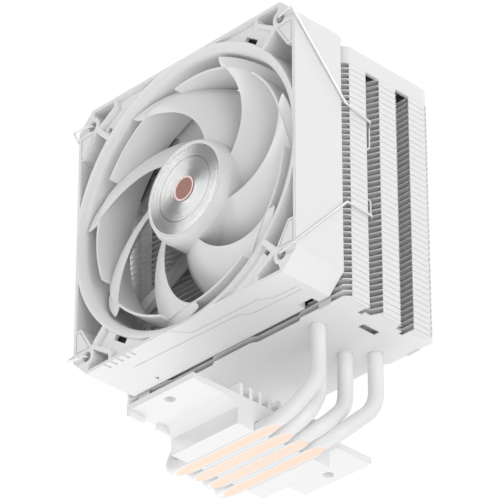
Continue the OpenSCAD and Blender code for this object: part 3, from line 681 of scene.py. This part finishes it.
def lathe_cuts(finish, outward, radius):
    """A normal that leans in or out like the flanks of fine lathe cuts."""
    cut = radius.math("FLOOR", radius / cut_pitch)
    chance = finish.node("ShaderNodeTexWhiteNoise", {"noise_dimensions": "1D"}, W=cut)
    along = finish.vector("NORMALIZE", i0=outward)
    tilt = flank_tilt * ((chance > 0.5) - 0.5) + flank_spread * (chance - 0.5)
    lean = finish.vector("SCALE", i0=along, Scale=tilt)
    face = finish.node("ShaderNodeNewGeometry", output="Normal")
    return finish.vector("NORMALIZE", i0=finish.vector("ADD", i0=face, i1=lean))


trim = Finish("turned aluminium")
outward, radius = off_axis(trim)
# The fine groove has no shape of its own: the shade inside it is painted as a near-black ring in the base colour.
painted_groove_shade = (radius > groove_r) * (radius < groove_r + groove_w)
cloud = trim.noise(120.0)
white_edge = radius > metal_r
metal = trim.blend(painted_groove_shade, trim.blend(cloud, grey(0.19), grey(0.22)), grey(0.07))
trim.set(Base_Color=trim.blend(white_edge, metal, grey(coat_white)), Metallic=1 - white_edge,
         Roughness=0.14 + 0.06 * cloud + 0.2 * white_edge, Normal=lathe_cuts(trim, outward, radius))
dress("hub_trim_disc", trim)

rose = Finish("rose anodised")
_, radius = off_axis(rose)
speck = rose.noise(1500.0)
tint = rose.blend(speck, rose_dark, rose_light)
rose.set(Base_Color=rose.blend(radius > rose_r, tint, rose_rim), Metallic=0.5, Roughness=0.36 + 0.1 * speck)
dress("hub_centre_disc", rose)

# Wire clips
# One length of drawn spring steel wire on each side, bent in a jig and coated pale.
# Its ends hook into the frame's corner holes, and its grips snap into a groove of the fins.

frame_half = 60.0 * mm
hole_at = 52.5 * mm
wire_r = 0.65 * mm
drawn_r = 0.52 * mm
wire_gap = 0.3 * mm
wire_tip = 4.0 * mm
wire_bend_r = 1.2 * mm
bend_steps = 8
wire_sides = 20
wire_smooth = 50.0
corner_out = 1.5 * mm
hook_z = 22.0 * mm
grip_z = 21.0 * mm
grip_end = 12.0 * mm
grip_low = 1.5 * mm
hold_drop = 2.0 * mm
grip_x = frame_half - 2.3 * mm
column_pitch = 16.4 * mm
column_w = 9.0 * mm
groove_depth = 4.6 * mm
wire_x = frame_half + wire_r + wire_gap
wire_y = face_y - wire_r - wire_gap
groove_y = fins_middle.y - column_pitch + column_w / 2
groove_middle = fins_middle.y - column_pitch / 2


def half_clip(end):
    """Points from a corner hole to the grip in the fin groove, for the upper end (1) or the lower (-1)."""
    outside = [(hole_at, face_y + wire_tip, hole_at), (hole_at, wire_y, hole_at),
               (wire_x, wire_y - corner_out, hole_at), (wire_x, fins_low.y, hook_z)]
    inside = [(wire_x, groove_y + wire_r + wire_gap, grip_z), (grip_x, groove_middle, grip_z),
              (grip_x, groove_middle, grip_end),
              (frame_half - groove_depth + wire_r + wire_gap, groove_y + wire_r + 3 * wire_gap,
               grip_end - hold_drop)]
    drops = [(point, 0.0) for point in outside] + [(point, grip_low) for point in inside]
    return [(x, y, axis_z + end * z - drop) for (x, y, z), drop in drops]


tube = Pattern("wire tube", "Wire", Route="NodeSocketGeometry", Radius="NodeSocketFloat",
               Bend="NodeSocketFloat", Coat="NodeSocketMaterial")
route = tube.node("GeometryNodeMeshToCurve", Mesh=tube.given["Route"])
bent = tube.node("GeometryNodeFilletCurve", {"mode": "POLY"}, Curve=route, Count=bend_steps,
                 Radius=tube.given["Bend"], Limit_Radius=True)
section = tube.node("GeometryNodeCurvePrimitiveCircle", Resolution=wire_sides, Radius=tube.given["Radius"])
swept = tube.node("GeometryNodeCurveToMesh", Curve=bent, Profile_Curve=section, Fill_Caps=True)
tube.end(swept, tube.given["Coat"])

wire = plain_metal("spring wire", grey(0.72), grey(0.8), rough=0.3, stretch=(2000.0, 200.0, 2000.0), metallic=0.5)
for side, name in ((1, "right"), (-1, "left")):
    points = [(side * x, y, z) for x, y, z in half_clip(1) + half_clip(-1)[::-1]]
    mesh = bpy.data.meshes.new(f"{name}_wire")
    mesh.from_pydata(points, [(i, i + 1) for i in range(len(points) - 1)], [])
    clip = bpy.data.objects.new(f"{name}_wire", mesh)
    bpy.context.scene.collection.objects.link(clip)
    tube.make(clip, wire_smooth, Radius=drawn_r, Bend=wire_bend_r, Coat=wire.material)
    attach(clip, f"{name}_clip")
    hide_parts(f"clip_{name}")

# Studio
# A pale, glowing paper floor far below, and soft boxes on the right, on the left, above and in front.
# The surround is white, and the camera looks up at the cooler from the front right.

floor_half = 6.0
floor_z = -1.6
floor_glow = 0.6
sky_light = 0.38
aim = Vector((0.5, -0.8, 91.6)) * mm
azimuth = 45.4
elevation = -31.64
distance = 1490.7 * mm
sensor_width = 36.0
lens_length = 279.64
view_depth = 50.0

floor_mesh = bpy.data.meshes.new("floor")
floor_mesh.from_pydata([(-floor_half, -floor_half, floor_z), (floor_half, -floor_half, floor_z),
                        (floor_half, floor_half, floor_z), (-floor_half, floor_half, floor_z)], [], [(0, 1, 2, 3)])
floor = bpy.data.objects.new("floor", floor_mesh)
bpy.context.scene.collection.objects.link(floor)
paper = Finish("pale floor")
paper.set(Base_Color=paper.blend(paper.noise(3.0), grey(0.86), grey(0.9)), Roughness=0.9)
matte = Signal(paper.tree, paper.shader.outputs[0])
glow = paper.node("ShaderNodeEmission", Color=grey(1.0), Strength=1.0)
lit = paper.node("ShaderNodeMixShader", i0=floor_glow, i1=matte, i2=glow)
feed(paper.tree, paper.tree.nodes["Material Output"].inputs["Surface"], lit)
floor_mesh.materials.append(paper.material)


def from_angle(turn, lift, reach):
    """A point round the aim, by angles in degrees: turn 0 is in front, positive turns to the right."""
    turn, lift = math.radians(turn), math.radians(lift)
    return aim + reach * Vector((math.sin(turn) * math.cos(lift), -math.cos(turn) * math.cos(lift),
                                 math.sin(lift)))


def soft_box(name, turn, lift, reach, size, power, roll=0.0):
    """A lamp of two sizes that faces the aim, rolled about its own axis."""
    lamp = bpy.data.lights.new(name, "AREA")
    lamp.shape = "RECTANGLE"
    lamp.size, lamp.size_y = size
    lamp.energy = power
    obj = bpy.data.objects.new(name, lamp)
    obj.location = from_angle(turn, lift, reach)
    facing = (aim - obj.location).to_track_quat("-Z", "Y")
    obj.rotation_euler = (facing @ Quaternion((0.0, 0.0, 1.0), math.radians(roll))).to_euler()
    bpy.context.scene.collection.objects.link(obj)


soft_box("key box", turn=80.0, lift=-10.0, reach=1.3, size=(1.2, 1.2), power=7.9)
soft_box("left box", turn=-92.0, lift=-40.0, reach=1.3, size=(1.6, 1.6), power=9.0)
soft_box("top box", turn=165.0, lift=60.0, reach=1.5, size=(1.2, 1.2), power=8.0)
soft_box("front box", turn=-35.2, lift=24.0, reach=1.4, size=(0.5, 0.28), power=3.3, roll=50.0)

world = bpy.data.worlds.new("studio")
world.use_nodes = True
sky = Bench(world.node_tree)
seen = (sky.node("ShaderNodeLightPath", output="Is Camera Ray")
        + sky.node("ShaderNodeLightPath", output="Is Glossy Ray")
        + sky.node("ShaderNodeLightPath", output="Is Transmission Ray"))
background = sky.tree.nodes["Background"]
feed(sky.tree, background.inputs["Color"], grey(1.0))
feed(sky.tree, background.inputs["Strength"], sky_light + (1 - sky_light) * seen)
bpy.context.scene.world = world
bpy.context.scene.view_settings.view_transform = "Standard"

lens = bpy.data.cameras.new("camera")
lens.sensor_width = sensor_width
lens.lens = lens_length
lens.clip_end = view_depth
camera = bpy.data.objects.new("camera", lens)
camera.location = from_angle(azimuth, elevation, distance)
camera.rotation_euler = (aim - camera.location).to_track_quat("-Z", "Y").to_euler()
bpy.context.scene.collection.objects.link(camera)
bpy.context.scene.camera = camera
